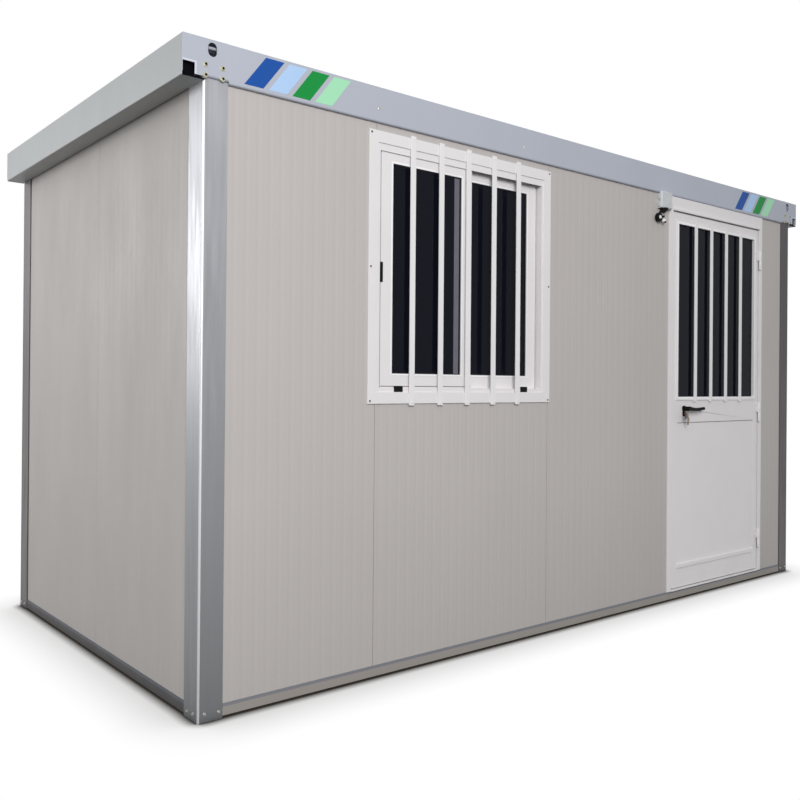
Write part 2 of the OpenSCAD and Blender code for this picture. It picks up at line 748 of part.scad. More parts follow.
// The grip's middle sags in a half wave from its neck to its round tip, and it gets slimmer on the way.
grip_run = lever_len - tip_high / 2;
grip_steps = 12;
function grip_edge(side) = [for (i = [0:grip_steps]) let (t = i / grip_steps)
    [t * grip_run, side * (lever_high + (tip_high - lever_high) * t) / 2 - lever_sag * sin(180 * t)]];
function reversed(list) = [for (i = [len(list) - 1:-1:0]) list[i]];
module grip() linear_extrude(lever_t) {
    circle(d = neck_d);
    polygon(concat(grip_edge(-1), reversed(grip_edge(1))));
    translate([grip_run, 0]) circle(d = tip_high);
}
module door_lever() color(dark) front() {
    at_spindle(leaf_y + leaf_t + lever_out) cylinder(d = spindle_d, h = leaf_t + 2 * lever_out);
    at_spindle(leaf_y - lock_plate_t - neck_gap) cylinder(d = neck_d, h = lever_out - lock_plate_t);
    at_spindle(leaf_y - lever_out) grip();
    at_spindle(leaf_y + leaf_t + lever_out) cylinder(d = neck_d, h = lever_out - lock_plate_t - neck_gap);
    at_spindle(leaf_y + leaf_t + lever_out + lever_t) grip();
}

// ---------- power inlet ----------
inlet_x = door_x - inlet_gap - inlet_w;
inlet_top = lip_z - inlet_drop;
inlet_z = inlet_top - inlet_high;
inlet_y = face - inlet_deep;
inlet_mid_y = face - inlet_deep / 2;
// The box's side view: its front part rises as a hood, and its front edges are round.
module inlet_side_view() {
    hood_top = inlet_top + hood_rise;
    translate([inlet_y, inlet_z + inlet_round])
        square([-roof_proud - inlet_drop - inlet_y, hood_top - inlet_z - 2 * inlet_round]);
    translate([inlet_y + inlet_round, inlet_z])
        square([-roof_proud - inlet_drop - inlet_y - inlet_round, hood_top - inlet_z]);
    translate([inlet_y + inlet_round, inlet_z]) square([inlet_deep - inlet_round, inlet_high]);
    for (z = [inlet_z + inlet_round, hood_top - inlet_round])
        translate([inlet_y + inlet_round, z]) circle(inlet_round);
}
// The box's plan: its two upright edges in front are round.
module inlet_plan() {
    translate([inlet_x + inlet_side_round, inlet_y]) square([inlet_w - 2 * inlet_side_round, inlet_deep]);
    translate([inlet_x, inlet_y + inlet_side_round]) square([inlet_w, inlet_deep - inlet_side_round]);
    for (x = [inlet_x + inlet_side_round, inlet_x + inlet_w - inlet_side_round])
        translate([x, inlet_y + inlet_side_round]) circle(inlet_side_round);
}
module inlet_lug(z) translate([inlet_x - lug_out, inlet_mid_y, z]) rotate([0, 90, 0])
    linear_extrude(lug_out + 1) {
        square([lug_high - lug_w, lug_w], center = true);
        for (side = [-1, 1]) translate([side * (lug_high - lug_w) / 2, 0]) circle(d = lug_w);
    }
module inlet_box() color([0.72, 0.73, 0.74]) front() {
    intersection() {
        along_x(inlet_x, inlet_w) inlet_side_view();
        translate([0, 0, inlet_z]) linear_extrude(inlet_high + hood_rise) inlet_plan();
    }
    for (part = [1, 3]) inlet_lug(inlet_z + inlet_high * part / 4);
}
// The spout under the box, and the round cap that hangs from it by a slanting strap.
spout_x = inlet_x + spout_in;
cap_x = spout_x - cap_side;
cap_z = inlet_z - cap_drop;
module spout() translate([spout_x, inlet_mid_y, inlet_z - spout_len])
    cylinder(d1 = spout_tip, d2 = spout_d, h = spout_len);
module strap() translate([0, inlet_mid_y + strap_t / 2, 0]) rotate([90, 0, 0]) linear_extrude(strap_t)
    polygon([[cap_x - strap_w / 2, cap_z + cap_d / 2 - strap_t],
        [cap_x + strap_w / 2, cap_z + cap_d / 2 - strap_t],
        [spout_x + strap_w / 4, inlet_z - spout_len / 2], [spout_x - strap_w / 2, inlet_z - strap_t]]);
module hanging_cap() translate([cap_x, inlet_mid_y + cap_t / 2, cap_z]) rotate([90, 0, 0]) difference() {
    cylinder(d = cap_d, h = cap_t);
    translate([0, 0, cap_t - cap_hole_deep]) cylinder(d = cap_hole, h = cap_t);
}
module inlet_cap() color(dark) front() {
    spout();
    strap();
    hanging_cap();
}

base_side_rails();
base_end_rails();
floor_joists();
floor_deck();
corner_post_front_left();
corner_post_front_right();
corner_post_back_left();
corner_post_back_right();
front_panel_left();
front_panel_under_window();
front_panel_over_window();
front_panel_middle();
front_panel_right();
back_panel_1();
back_panel_2();
back_panel_3();
back_panel_4();
left_end_panels();
right_end_panels();
roof_beam_front();
roof_beam_back();
end_channel_left();
end_channel_right();
roof_corners_front();
roof_corners_back();
roof_panel();
window_frame();
window_sash_left();
window_sash_right();
window_glass();
window_grille();
door_jambs();
door_head();
door_sill();
door_hinges();
door_leaf();
door_glass();
door_infill();
door_grille();
door_hinge_leaves();
door_lock();
door_lever();
inlet_box();
inlet_cap();
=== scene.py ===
"""Looks of the office container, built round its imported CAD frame.

Lengths are metres in the frame's own axes: x runs along the front wall to the door's end, the front wall
faces -y, and z is up.
"""

import math

import bmesh
import bpy
from mathutils import Matrix, Vector


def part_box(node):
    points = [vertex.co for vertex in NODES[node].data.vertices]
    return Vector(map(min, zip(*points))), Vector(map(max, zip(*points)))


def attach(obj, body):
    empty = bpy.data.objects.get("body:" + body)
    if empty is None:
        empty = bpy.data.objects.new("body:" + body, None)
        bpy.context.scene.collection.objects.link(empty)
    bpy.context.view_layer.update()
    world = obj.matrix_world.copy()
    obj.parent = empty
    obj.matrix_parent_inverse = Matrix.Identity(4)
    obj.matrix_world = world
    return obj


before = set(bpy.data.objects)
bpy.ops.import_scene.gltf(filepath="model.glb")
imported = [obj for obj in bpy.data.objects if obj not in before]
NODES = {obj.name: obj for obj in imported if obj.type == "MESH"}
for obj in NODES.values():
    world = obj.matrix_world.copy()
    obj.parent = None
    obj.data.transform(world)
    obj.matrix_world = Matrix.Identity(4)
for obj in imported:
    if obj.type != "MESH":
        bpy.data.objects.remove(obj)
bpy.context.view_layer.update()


# ---------- where things are, read from the frame ----------
def low(node):
    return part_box(node)[0]


def high(node):
    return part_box(node)[1]


POST_LOW = low("corner_post_front_left")
LEFT, FRONT = POST_LOW.x, POST_LOW.y
RIGHT, BACK = high("corner_post_front_right").x, high("corner_post_back_left").y
PANEL_FACE = low("front_panel_left").y
FASCIA_LOW, FASCIA_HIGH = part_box("roof_beam_front")
FASCIA_FRONT = FASCIA_LOW.y
FASCIA_BACK = -FASCIA_FRONT
EAVE = low("end_channel_left").z
END_FACE = low("end_channel_left").x
FASCIA_CORNER = low("roof_corners_front").z
FLANGE_LOW, FLANGE_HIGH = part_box("window_frame")
LEAF_FACE = low("door_leaf").y


# ---------- materials ----------
def srgb(r, g, b):
    """A linear colour from its sRGB bytes."""
    def linear(v):
        v /= 255
        return v / 12.92 if v <= 0.04045 else ((v + 0.055) / 1.055) ** 2.4
    return (linear(r), linear(g), linear(b), 1.0)


def shade(colour, factor):
    return tuple(min(1.0, v * factor) for v in colour[:3]) + (1.0,)


class Finish:
    """A Principled material, with the node set-ups that the finishes share."""

    def __init__(self, name, colour, roughness, metallic=0.0, specular=0.5):
        self.material = bpy.data.materials.new(name)
        self.material.use_nodes = True
        self.material.diffuse_color = colour
        self.tree = self.material.node_tree
        self.shader = self.tree.nodes["Principled BSDF"]
        self.colour = colour
        self.set("Base Color", colour)
        self.set("Roughness", roughness)
        self.set("Metallic", metallic)
        self.set("Specular IOR Level", specular)
        self.normal = None

    def set(self, socket, value):
        self.shader.inputs[socket].default_value = value
        return self

    def node(self, kind, **sockets):
        made = self.tree.nodes.new(kind)
        for name, value in sockets.items():
            self.feed(made.inputs[name.replace("_", " ")], value)
        return made

    def feed(self, socket, value):
        if isinstance(value, bpy.types.NodeSocket):
            self.tree.links.new(value, socket)
        else:
            socket.default_value = value

    def place(self):
        return self.node("ShaderNodeTexCoord").outputs["Object"]

    def noise(self, size, stretch=(1, 1, 1), detail=3.0, seed=0.0):
        """Soft noise whose blotches are about size across, drawn out along the axes by stretch."""
        mapping = self.node("ShaderNodeMapping", Vector=self.place())
        mapping.inputs["Scale"].default_value = [1 / (size * s) for s in stretch]
        mapping.inputs["Location"].default_value = (seed, seed, seed)
        made = self.node("ShaderNodeTexNoise", Vector=mapping.outputs["Vector"], Scale=1.0, Detail=detail)
        return made.outputs["Fac"]

    def ramp(self, value, start, end, to_start=0.0, to_end=1.0):
        made = self.node("ShaderNodeMapRange", Value=value, From_Min=start, From_Max=end,
                         To_Min=to_start, To_Max=to_end)
        return made.outputs["Result"]

    def height_above(self, start, end):
        """0 below start and 1 above end, in metres from the ground."""
        split = self.node("ShaderNodeSeparateXYZ", Vector=self.place())
        return self.ramp(split.outputs["Z"], start, end)

    def mix(self, factor, a, b):
        made = self.node("ShaderNodeMix")
        made.data_type = "RGBA"
        self.feed(made.inputs[0], factor)
        self.feed(made.inputs[6], a)
        self.feed(made.inputs[7], b)
        return made.outputs[2]

    def mottle(self, amount, size, stretch=(1, 1, 1)):
        """The base colour gets blotches lighter and darker by amount."""
        factor = self.ramp(self.noise(size, stretch), 0.3, 0.7)
        return self.mix(factor, shade(self.colour, 1 - amount), shade(self.colour, 1 + amount))

    def paint(self, colour):
        self.feed(self.shader.inputs["Base Color"], colour)
        return self

    def gloss(self, least, most, size, stretch=(1, 1, 1)):
        """The roughness wanders between two values."""
        self.feed(self.shader.inputs["Roughness"],
                  self.ramp(self.noise(size, stretch, seed=7.0), 0.3, 0.7, least, most))
        return self

    def bump(self, height, distance):
        """Relief of the given depth, on top of the relief that is there already."""
        made = self.node("ShaderNodeBump", Height=height, Distance=distance, Strength=1.0)
        if self.normal:
            self.feed(made.inputs["Normal"], self.normal)
        self.normal = made.outputs["Normal"]
        self.feed(self.shader.inputs["Normal"], self.normal)
        return self


# The folded shoulder along a base rail's top starts here, and its colour changes within this height.
SHOULDER_FOOT, SHOULDER_EDGE = 0.038, 0.002
# Heights between which the painted shade at the walls' foot and at the posts' foot fades out
WALL_FADE = (0.02, 0.75)
POST_FADE = (0.1, 2.1)


def coated_sheet(name, colour, roughness, specular, shaded_foot=0.0, lip=None):
    """Coil-coated sheet: fine peel, long shallow waves and faint rain marks.

    If asked, it has painted shade at its foot, or a base rail's shoulder in the colour lip.
    """
    made = Finish(name, colour, roughness, specular=specular)
    tone = made.mottle(0.02, 0.35, (1, 1, 2.5))
    if shaded_foot:
        # Painted shade: the colour darkens towards the foot.
        tone = made.mix(made.height_above(*WALL_FADE), shade(colour, 1 - shaded_foot), tone)
    if lip:
        tone = made.mix(made.height_above(SHOULDER_FOOT, SHOULDER_FOOT + SHOULDER_EDGE), tone, lip)
    made.paint(tone).gloss(roughness - 0.06, roughness + 0.08, 0.12, (1, 1, 4))
    made.bump(made.noise(0.45, (1, 1, 1.6)), 0.0010).bump(made.noise(0.0025, detail=2.0), 0.00004)
    return made.material


def powder_coat(name, colour, roughness=0.42):
    made = Finish(name, colour, roughness, specular=0.4)
    made.paint(made.mottle(0.015, 0.2)).gloss(roughness - 0.05, roughness + 0.07, 0.08)
    made.bump(made.noise(0.0018, detail=2.0), 0.00005)
    return made.material


def zinc_sheet(name, colour, foot=0.38, metallic=0.55):
    """Galvanised and lacquered steel: upright streaks over a fine spangle, and painted shade below its top.
    """
    made = Finish(name, colour, 0.38, metallic=metallic)
    streaks = made.mottle(0.05, 0.012, (1, 1, 40))
    # Painted shade: towards the bottom the colour falls to foot times itself.
    made.paint(made.mix(made.height_above(*POST_FADE), shade(colour, foot), streaks))
    made.gloss(0.34, 0.52, 0.02, (1, 1, 12)).bump(made.noise(0.006), 0.00006)
    return made.material


def plain_metal(name, colour, roughness=0.35):
    made = Finish(name, colour, roughness, metallic=0.85)
    made.paint(made.mottle(0.12, 0.006)).gloss(roughness - 0.08, roughness + 0.12, 0.004)
    made.bump(made.noise(0.0015), 0.00003)
    return made.material


def moulded(name, colour, roughness, specular):
    """Moulded plastic or rubber with a fine grain."""
    made = Finish(name, colour, roughness, specular=specular)
    made.paint(made.mottle(0.06, 0.03)).gloss(roughness - 0.08, roughness + 0.1, 0.02)
    made.bump(made.noise(0.0008, detail=2.0), 0.00005)
    return made.material


def dark_glass():
    made = Finish("tinted_glass", srgb(15, 16, 26), 0.06, specular=0.15)
    made.set("Alpha", 0.90)
    made.bump(made.noise(0.4, detail=1.0), 0.0006)
    return made.material


def coated_ply():
    """Brown film-faced plywood with a wire-mesh print."""
    made = Finish("deck_ply", srgb(104, 78, 56), 0.5, specular=0.4)
    grain = made.ramp(made.noise(0.02, (14, 1, 1), detail=6.0), 0.35, 0.65)
    made.paint(made.mix(grain, shade(made.colour, 0.78), shade(made.colour, 1.15))).gloss(0.42, 0.62, 0.05)
    mesh = made.node("ShaderNodeTexChecker", Vector=made.place(), Scale=250.0)
    made.bump(mesh.outputs["Fac"], 0.0002)
    return made.material


PANEL = coated_sheet("panel_coating", (0.474, 0.443, 0.422, 1), 0.55, 0.3, shaded_foot=0.08)
FASCIA = coated_sheet("fascia_coating", (0.42, 0.44, 0.50, 1), 0.45, 0.35)
END_FASCIA = coated_sheet("end_fascia_coating", (0.46, 0.475, 0.475, 1), 0.45, 0.35)
ROOF = coated_sheet("roof_coating", srgb(196, 199, 201), 0.45, 0.35)
# A lighter copy of the fascia's coat: painted highlight over and beside the outlets.
OUTLET_PAINTED_HIGHLIGHT = coated_sheet("outlet_painted_highlight", (0.58, 0.60, 0.67, 1), 0.4, 0.35)
RAIL = coated_sheet("rail_coating", (0.29, 0.266, 0.244, 1), 0.5, 0.3, lip=(0.17, 0.172, 0.19, 1))
END_RAIL = coated_sheet("end_rail_coating", (0.062, 0.058, 0.058, 1), 0.5, 0.3,
                        lip=(0.075, 0.078, 0.092, 1))
BANDS = {name: coated_sheet(name, colour, 0.4, 0.35) for name, colour in (
    ("band_dark_blue", srgb(14, 76, 156)), ("band_light_blue", srgb(170, 199, 232)),
    ("band_green", srgb(0, 138, 55)), ("band_light_green", srgb(160, 219, 178)))}
POST = zinc_sheet("post_zinc", (0.44, 0.445, 0.465, 1))
# A darker copy of the posts' zinc: painted dark reflection on the far posts; the hidden floor joists simply
# wear it.
DARK_ZINC_AND_PAINTED_REFLECTION = zinc_sheet("dark_zinc_and_painted_reflection", (0.105, 0.095, 0.098, 1), 0.85)
# A light copy of the zinc on the near post's folded edge: painted highlight.
EDGE_PAINTED_HIGHLIGHT = zinc_sheet("edge_painted_highlight", (0.92, 0.925, 0.94, 1), 0.5, 0.3)
# A dark copy on the other posts' folded edges: painted dark reflection.
EDGE_PAINTED_DARK_REFLECTION = zinc_sheet("edge_painted_dark_reflection", (0.16, 0.15, 0.155, 1), 0.85)
WHITE = powder_coat("white_powder_coat", (0.735, 0.705, 0.705, 1))
GRILLE = powder_coat("white_grille_coat", (0.755, 0.735, 0.735, 1), 0.38)
# A lighter copy of the white coat: painted highlight along the glazing beads.
WHITE_PAINTED_HIGHLIGHT = powder_coat("white_painted_highlight", (0.86, 0.84, 0.845, 1), 0.35)
# Grey for lines of painted shade: at the outer sash's foot, and along the seam under the door's lock rail.
SEAM = moulded("grey_painted_shade", srgb(128, 124, 122), 0.7, 0.1)
# Grey for the painted reflection of a stile on the window's outer glass.
PAINTED_GLASS_REFLECTION = moulded("grey_painted_glass_reflection", srgb(98, 98, 108), 0.5, 0.3)
BLACK = moulded("black_fittings", srgb(12, 12, 14), 0.55, 0.12)
# Near-black for painted shadow in the outlets and under the eaves.
BLACK_PAINTED_SHADOW = moulded("black_painted_shadow", srgb(8, 8, 14), 0.8, 0.05)
RUBBER = moulded("rubber", srgb(30, 30, 32), 0.7, 0.25)
GREY = moulded("grey_plastic", srgb(196, 198, 199), 0.42, 0.4)
PALE = moulded("pale_plastic", srgb(226, 226, 224), 0.4, 0.4)
ZINC = plain_metal("zinc_fixings", srgb(176, 176, 172))
BOLT = plain_metal("yellow_zinc", srgb(206, 204, 180))
DULL = plain_metal("dull_fixings", srgb(92, 90, 90), 0.5)
STEEL = plain_metal("key_steel", srgb(112, 98, 94), 0.4)
BRASS = plain_metal("brass", srgb(156, 142, 124), 0.4)
GLASS = dark_glass()
DECK = coated_ply()

# The first of these starts that fits a node's name gives its finish.
NODE_FINISH = {
    "base_end_rails": END_RAIL, "base_": RAIL, "floor_joists": DARK_ZINC_AND_PAINTED_REFLECTION, "floor_deck": DECK,
    "corner_post_front_left": POST, "corner_post": DARK_ZINC_AND_PAINTED_REFLECTION,
    "front_panel": PANEL, "back_panel": PANEL, "left_end_panels": PANEL, "right_end_panels": PANEL,
    "roof_beam": FASCIA, "end_channel": END_FASCIA, "roof_corners": FASCIA, "roof_panel": ROOF,
    "window_glass": GLASS, "door_glass": GLASS, "window_grille": GRILLE, "door_grille": GRILLE,
    "window_": WHITE, "door_lock": BLACK, "door_lever": BLACK, "door_": WHITE,
    "inlet_box": GREY, "inlet_cap": BLACK,
}
# Nodes whose edges stay as the CAD has them
PLAIN_EDGES = ("front_panel", "back_panel", "left_end", "right_end", "floor_", "window_glass", "door_glass",
               "door_infill")
FOLD_ROUND, FOLD_ANGLE = 0.0009, math.radians(40)


def dress(name, node):
    """Gives a CAD node its finish, and small round edges where its sheet is bent or its part is moulded."""
    finish = next(f for start, f in NODE_FINISH.items() if name.startswith(start))
    node.data.materials.clear()
    node.data.materials.append(finish)
    weld = node.modifiers.new("Weld", "WELD")
    weld.merge_threshold = 1e-5
    if not name.startswith(PLAIN_EDGES):
        bevel = node.modifiers.new("Edges", "BEVEL")
        bevel.width = FOLD_ROUND
        bevel.segments = 2
        bevel.limit_method = "ANGLE"
        bevel.angle_limit = FOLD_ANGLE
        bevel.use_clamp_overlap = True


for node_name, node_object in NODES.items():
    dress(node_name, node_object)


# ---------- mesh helpers ----------
def bevel_all(bm, edges, width):
    bmesh.ops.bevel(bm, geom=list(edges), offset=width, segments=2, affect="EDGES", profile=0.6)


def add_block(bm, corner, size, edge=0.0):
    """A block whose edges are softened by edge; corner is its lowest corner."""
    centre = Vector(corner) + Vector(size) / 2
    space = Matrix.Translation(centre) @ Matrix.Diagonal((*size, 1))
    made = bmesh.ops.create_cube(bm, size=1.0, matrix=space)
    if edge:
        bevel_all(bm, {e for v in made["verts"] for e in v.link_edges}, min(edge, 0.3 * min(size)))


def add_between(bm, corner, opposite):
    """A sharp block between two opposite corners, whichever of them is the lower."""
    lowest = [min(pair) for pair in zip(corner, opposite)]
    add_block(bm, lowest, [abs(a - b) for a, b in zip(corner, opposite)])


def add_ring(bm, x0, x1, z0, z1, width, y, thick):
    """A rectangular ring of four strips, seen from the front, that lies inside the given opening."""
    edge = 0.0004
    for x in (x0, x1 - width):
        add_block(bm, (x, y, z0), (width, thick, z1 - z0), edge)
    for z in (z0, z1 - width):
        add_block(bm, (x0 + width, y, z), (x1 - x0 - 2 * width, thick, width), edge)


def add_prism(bm, outline, to_space, edge=0.0):
    """A solid from an outline of (u, v) points; to_space(u, v, w) gives the place, with w 0 or 1."""
    rings = [[bm.verts.new(to_space(u, v, w)) for u, v in outline] for w in (0, 1)]
    faces = [bm.faces.new(rings[0]), bm.faces.new(reversed(rings[1]))]
    count = len(outline)
    for i in range(count):
        j = (i + 1) % count
        faces.append(bm.faces.new((rings[0][j], rings[0][i], rings[1][i], rings[1][j])))
    bmesh.ops.recalc_face_normals(bm, faces=faces)
    if edge:
        bevel_all(bm, {e for f in faces for e in f.edges}, edge)


def turned(axis):
    """The rotation that takes +z to axis."""
    return Vector((0, 0, 1)).rotation_difference(Vector(axis)).to_matrix().to_4x4()


def add_lathe(bm, centre, axis, profile, steps):
    """Turns a profile of (radius, height) points round axis at centre. Its ends close on the axis."""
    space = Matrix.Translation(Vector(centre)) @ turned(axis)
    angles = [math.tau * i / steps for i in range(steps)]
    rings = []
    for radius, rise in profile:
        around = angles if radius else [0]
        rings.append([bm.verts.new(space @ Vector((radius * math.cos(t), radius * math.sin(t), rise)))
                      for t in around])
    faces = []
    for a, b in zip(rings, rings[1:]):
        for i in range(steps):
            j = (i + 1) % steps
            corners = [a[i % len(a)], a[j % len(a)], b[j % len(b)], b[i % len(b)]]
            corners = [v for k, v in enumerate(corners) if v not in corners[:k]]
            if len(corners) > 2:
                faces.append(bm.faces.new(corners))
    for ring, flip in ((rings[0], True), (rings[-1], False)):
        if len(ring) > 1:
            faces.append(bm.faces.new(list(reversed(ring)) if flip else ring))
    bmesh.ops.recalc_face_normals(bm, faces=faces)


SHARP_ANGLE = math.radians(35)


def piece(name, bm, finish, body):
    """Turns a bmesh into a piece of the object that rides on a body."""
    mesh = bpy.data.meshes.new(name)
    bm.to_mesh(mesh)
    bm.free()
    made = bpy.data.objects.new(name, mesh)
    bpy.context.scene.collection.objects.link(made)
    mesh.materials.append(finish)
    mesh.shade_smooth()
    mesh.set_sharp_from_angle(angle=SHARP_ANGLE)
    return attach(made, body)


# ---------- fixings ----------
OUT = {"front": (0, -1, 0), "back": (0, 1, 0), "left": (-1, 0, 0), "right": (1, 0, 0)}
WASHER_THICK, WASHER_ROUND = 0.0015, 0.0006
# The radius of a hexagon head's corners and of its chamfered top, for 1 across its flats
HEX_CORNER, HEX_TOP = 0.577, 0.48
SOCKET_THICK = 0.0003
# A strip as thin as this only shows as a line or a colour on what it lies on.
FILM = 0.0006


def add_bolt(bm, place, axis, across, washer):
    """A hexagon head on a round washer."""
    head = 0.4 * across
    add_lathe(bm, place, axis, [
        (washer / 2, 0), (washer / 2, 0.7 * WASHER_THICK), (washer / 2 - WASHER_ROUND, WASHER_THICK),
        (0, WASHER_THICK)], 24)
    corner = across * HEX_CORNER
    add_lathe(bm, Vector(place) + Vector(axis) * WASHER_THICK, axis, [
        (corner, 0), (corner, 0.75 * head), (across * HEX_TOP, head), (0, head)], 6)


def add_socket(bm, place, axis, across):
    """A thin black hexagon on a bolt's head: painted shade for its drive hole."""
    add_lathe(bm, place, axis, [(across / 2, 0), (across / 2, SOCKET_THICK), (0, SOCKET_THICK)], 6)


def add_dome(bm, place, axis, across, rise):
    """A round-headed screw with a small drive hole."""
    r = across / 2
    add_lathe(bm, place, axis, [
        (r, 0), (0.97 * r, 0.35 * rise), (0.75 * r, 0.8 * rise), (0.42 * r, rise), (0.28 * r, 0.99 * rise),
        (0.24 * r, 0.55 * rise), (0, 0.5 * rise)], 16)


# ---------- roof frame ----------
BAND_FOOT, BAND_GAP, BAND_LEAN, BAND_THICK = 0.075, 0.022, 0.085, 0.0004
BAND_LOW, BAND_HIGH = FASCIA_LOW.z + 0.016, FASCIA_HIGH.z - 0.010
BAND_START = {"left": LEFT + 0.150, "right": RIGHT - 0.640}


def slanted_band(bm, x):
    """A parallelogram on the front fascia, whose foot starts at x."""
    outline = [(x, BAND_LOW), (x + BAND_FOOT, BAND_LOW), (x + BAND_FOOT + BAND_LEAN, BAND_HIGH),
               (x + BAND_LEAN, BAND_HIGH)]
    add_prism(bm, outline, lambda u, v, w: (u, FASCIA_FRONT - w * BAND_THICK, v))


def colour_bands():
    """Plain slanted bands in four colours near each end of the front fascia."""
    for side, start in BAND_START.items():
        for i, (name, finish) in enumerate(BANDS.items()):
            bm = bmesh.new()
            slanted_band(bm, start + i * (BAND_FOOT + BAND_GAP))
            piece(f"{name}_{side}", bm, finish, "cabin")


CORNER_BOLT_IN, CORNER_BOLT_UP = (0.0045, 0.068), (2.190, 2.226)
CORNER_BOLT, CORNER_WASHER, SOCKET_OUT = 0.010, 0.019, 0.0055
FASCIA_SCREW_X, FASCIA_SCREW_UP = (0.736, 1.557, 2.380, 3.199), 2.230
FASCIA_SCREW, FASCIA_SCREW_RISE = 0.011, 0.0022


def roof_fixings():
    bolts, sockets = bmesh.new(), bmesh.new()
    for face, axis in ((FASCIA_FRONT, OUT["front"]), (FASCIA_BACK, OUT["back"])):
        for x_in in CORNER_BOLT_IN:
            for x in (LEFT + x_in, RIGHT - x_in):
                for z in CORNER_BOLT_UP:
                    add_bolt(bolts, (x, face, z), axis, CORNER_BOLT, CORNER_WASHER)
                    # A black socket on each head: painted shade for its drive hole.
                    add_socket(sockets, Vector((x, face, z)) + Vector(axis) * SOCKET_OUT, axis, CORNER_BOLT)
        for x_in in FASCIA_SCREW_X:
            # The front has no third screw.
            if x_in != FASCIA_SCREW_X[2] or face == FASCIA_BACK:
                add_dome(bolts, (LEFT + x_in, face, FASCIA_SCREW_UP), axis, FASCIA_SCREW, FASCIA_SCREW_RISE)
    piece("roof_frame_bolts", bolts, BOLT, "cabin")
    piece("roof_frame_bolt_socket_shade", sockets, BLACK, "cabin")


OUTLET_IN, OUTLET_WIDE, OUTLET_TOP = 0.003, 0.043, 2.223
# The painted highlight over and beside each outlet: its width and thickness
HIGHLIGHT_WIDE, HIGHLIGHT_THICK = 0.007, 0.0004
# The black plate of painted shadow in each outlet stands between these depths behind the wall's face.
SHADOW_PLATE_BACK, SHADOW_PLATE_FRONT = 0.009, 0.006
SHADOW_PLATE_GAP, SHADOW_PLATE_UP, SHADOW_PLATE_OVER = 0.0005, 0.0035, 0.004
# Painted shadow: a dark strip at the foot of the channel's open end, past the fascia, behind it and under the
# eave
STRIP_OUT, STRIP_BACK, STRIP_UNDER, STRIP_HIGH = 0.0005, 0.004, 0.0004, 0.0042


def outlet_details():
    """Painted shadow: a black plate behind each channel's outlet. Painted highlight: a strip over and beside
    it.
    """
    shadow_plates, highlights = bmesh.new(), bmesh.new()
    highlight_top = OUTLET_TOP + HIGHLIGHT_WIDE
    strip_foot = EAVE - STRIP_UNDER
    for side in (-1, 1):
        outer = side * (-END_FACE - OUTLET_IN)
        inner = outer - side * OUTLET_WIDE
        for face in (-1, 1):
            add_between(shadow_plates, (outer - side * SHADOW_PLATE_GAP, face * (BACK - SHADOW_PLATE_FRONT), EAVE + SHADOW_PLATE_UP),
                        (inner + side * SHADOW_PLATE_GAP, face * (BACK - SHADOW_PLATE_BACK), OUTLET_TOP + SHADOW_PLATE_OVER))
            highlight_back, highlight_front = face * FASCIA_BACK, face * (FASCIA_BACK + HIGHLIGHT_THICK)
            add_between(highlights, (outer, highlight_back, OUTLET_TOP), (inner, highlight_front, highlight_top))
            add_between(highlights, (inner, highlight_back, FASCIA_CORNER), (inner - side * HIGHLIGHT_WIDE, highlight_front, highlight_top))
            add_between(shadow_plates, (outer, face * (FASCIA_BACK + STRIP_OUT), strip_foot),
                        (side * RIGHT, face * (FASCIA_BACK - STRIP_BACK), strip_foot + STRIP_HIGH))
    piece("outlet_painted_shadows", shadow_plates, BLACK_PAINTED_SHADOW, "cabin")
    piece("outlet_painted_highlights", highlights, OUTLET_PAINTED_HIGHLIGHT, "cabin")


# ---------- posts ----------
EDGE_ROUND, EDGE_THICK, EDGE_STEPS = 0.0065, 0.0004, 6
BASE_BOLTS_FRONT = ((0.025, 0.030), (0.078, 0.026))
BASE_BOLTS_END = ((0.034, 0.026), (0.079, 0.024))
BASE_BOLT, BASE_WASHER = 0.008, 0.012


def post_bolts():
    """Bolts at the foot of each post, at places (inward from the corner, up)."""
    bm = bmesh.new()
    for x_in, z in BASE_BOLTS_FRONT:
        for x in (LEFT + x_in, RIGHT - x_in):
            add_bolt(bm, (x, FRONT, z), OUT["front"], BASE_BOLT, BASE_WASHER)
            add_bolt(bm, (x, BACK, z), OUT["back"], BASE_BOLT, BASE_WASHER)
    for y_in, z in BASE_BOLTS_END:
        for y in (FRONT + y_in, BACK - y_in):
            add_bolt(bm, (LEFT, y, z), OUT["left"], BASE_BOLT, BASE_WASHER)
            add_bolt(bm, (RIGHT, y, z), OUT["right"], BASE_BOLT, BASE_WASHER)
    piece("post_base_bolts", bm, ZINC, "cabin")


def post_edges():
    """The folded edge of each post: painted highlight on the near one, painted dark reflection on the others.
    """
    bright, dull = bmesh.new(), bmesh.new()
    turns = [math.radians(90 * i / EDGE_STEPS) for i in range(EDGE_STEPS + 1)]
    for side in (-1, 1):
        for face in (-1, 1):
            corner = Vector((side * (RIGHT + EDGE_THICK), face * (BACK + EDGE_THICK)))
            centre = corner - Vector((side, face)) * EDGE_ROUND
            outside, inside = (
                [centre + Vector((side * math.cos(t), face * math.sin(t))) * r for t in turns]
                for r in (EDGE_ROUND, EDGE_ROUND - EDGE_THICK))
            # The near edge gets the painted highlight, the others the painted dark reflection.
            bm = bright if (side, face) == (-1, -1) else dull
            add_prism(bm, outside + inside[::-1], lambda u, v, w: Vector((u, v, w * (EAVE - EDGE_THICK))))
    piece("near_edge_painted_highlight", bright, EDGE_PAINTED_HIGHLIGHT, "cabin")
    piece("post_edges", dull, EDGE_PAINTED_DARK_REFLECTION, "cabin")


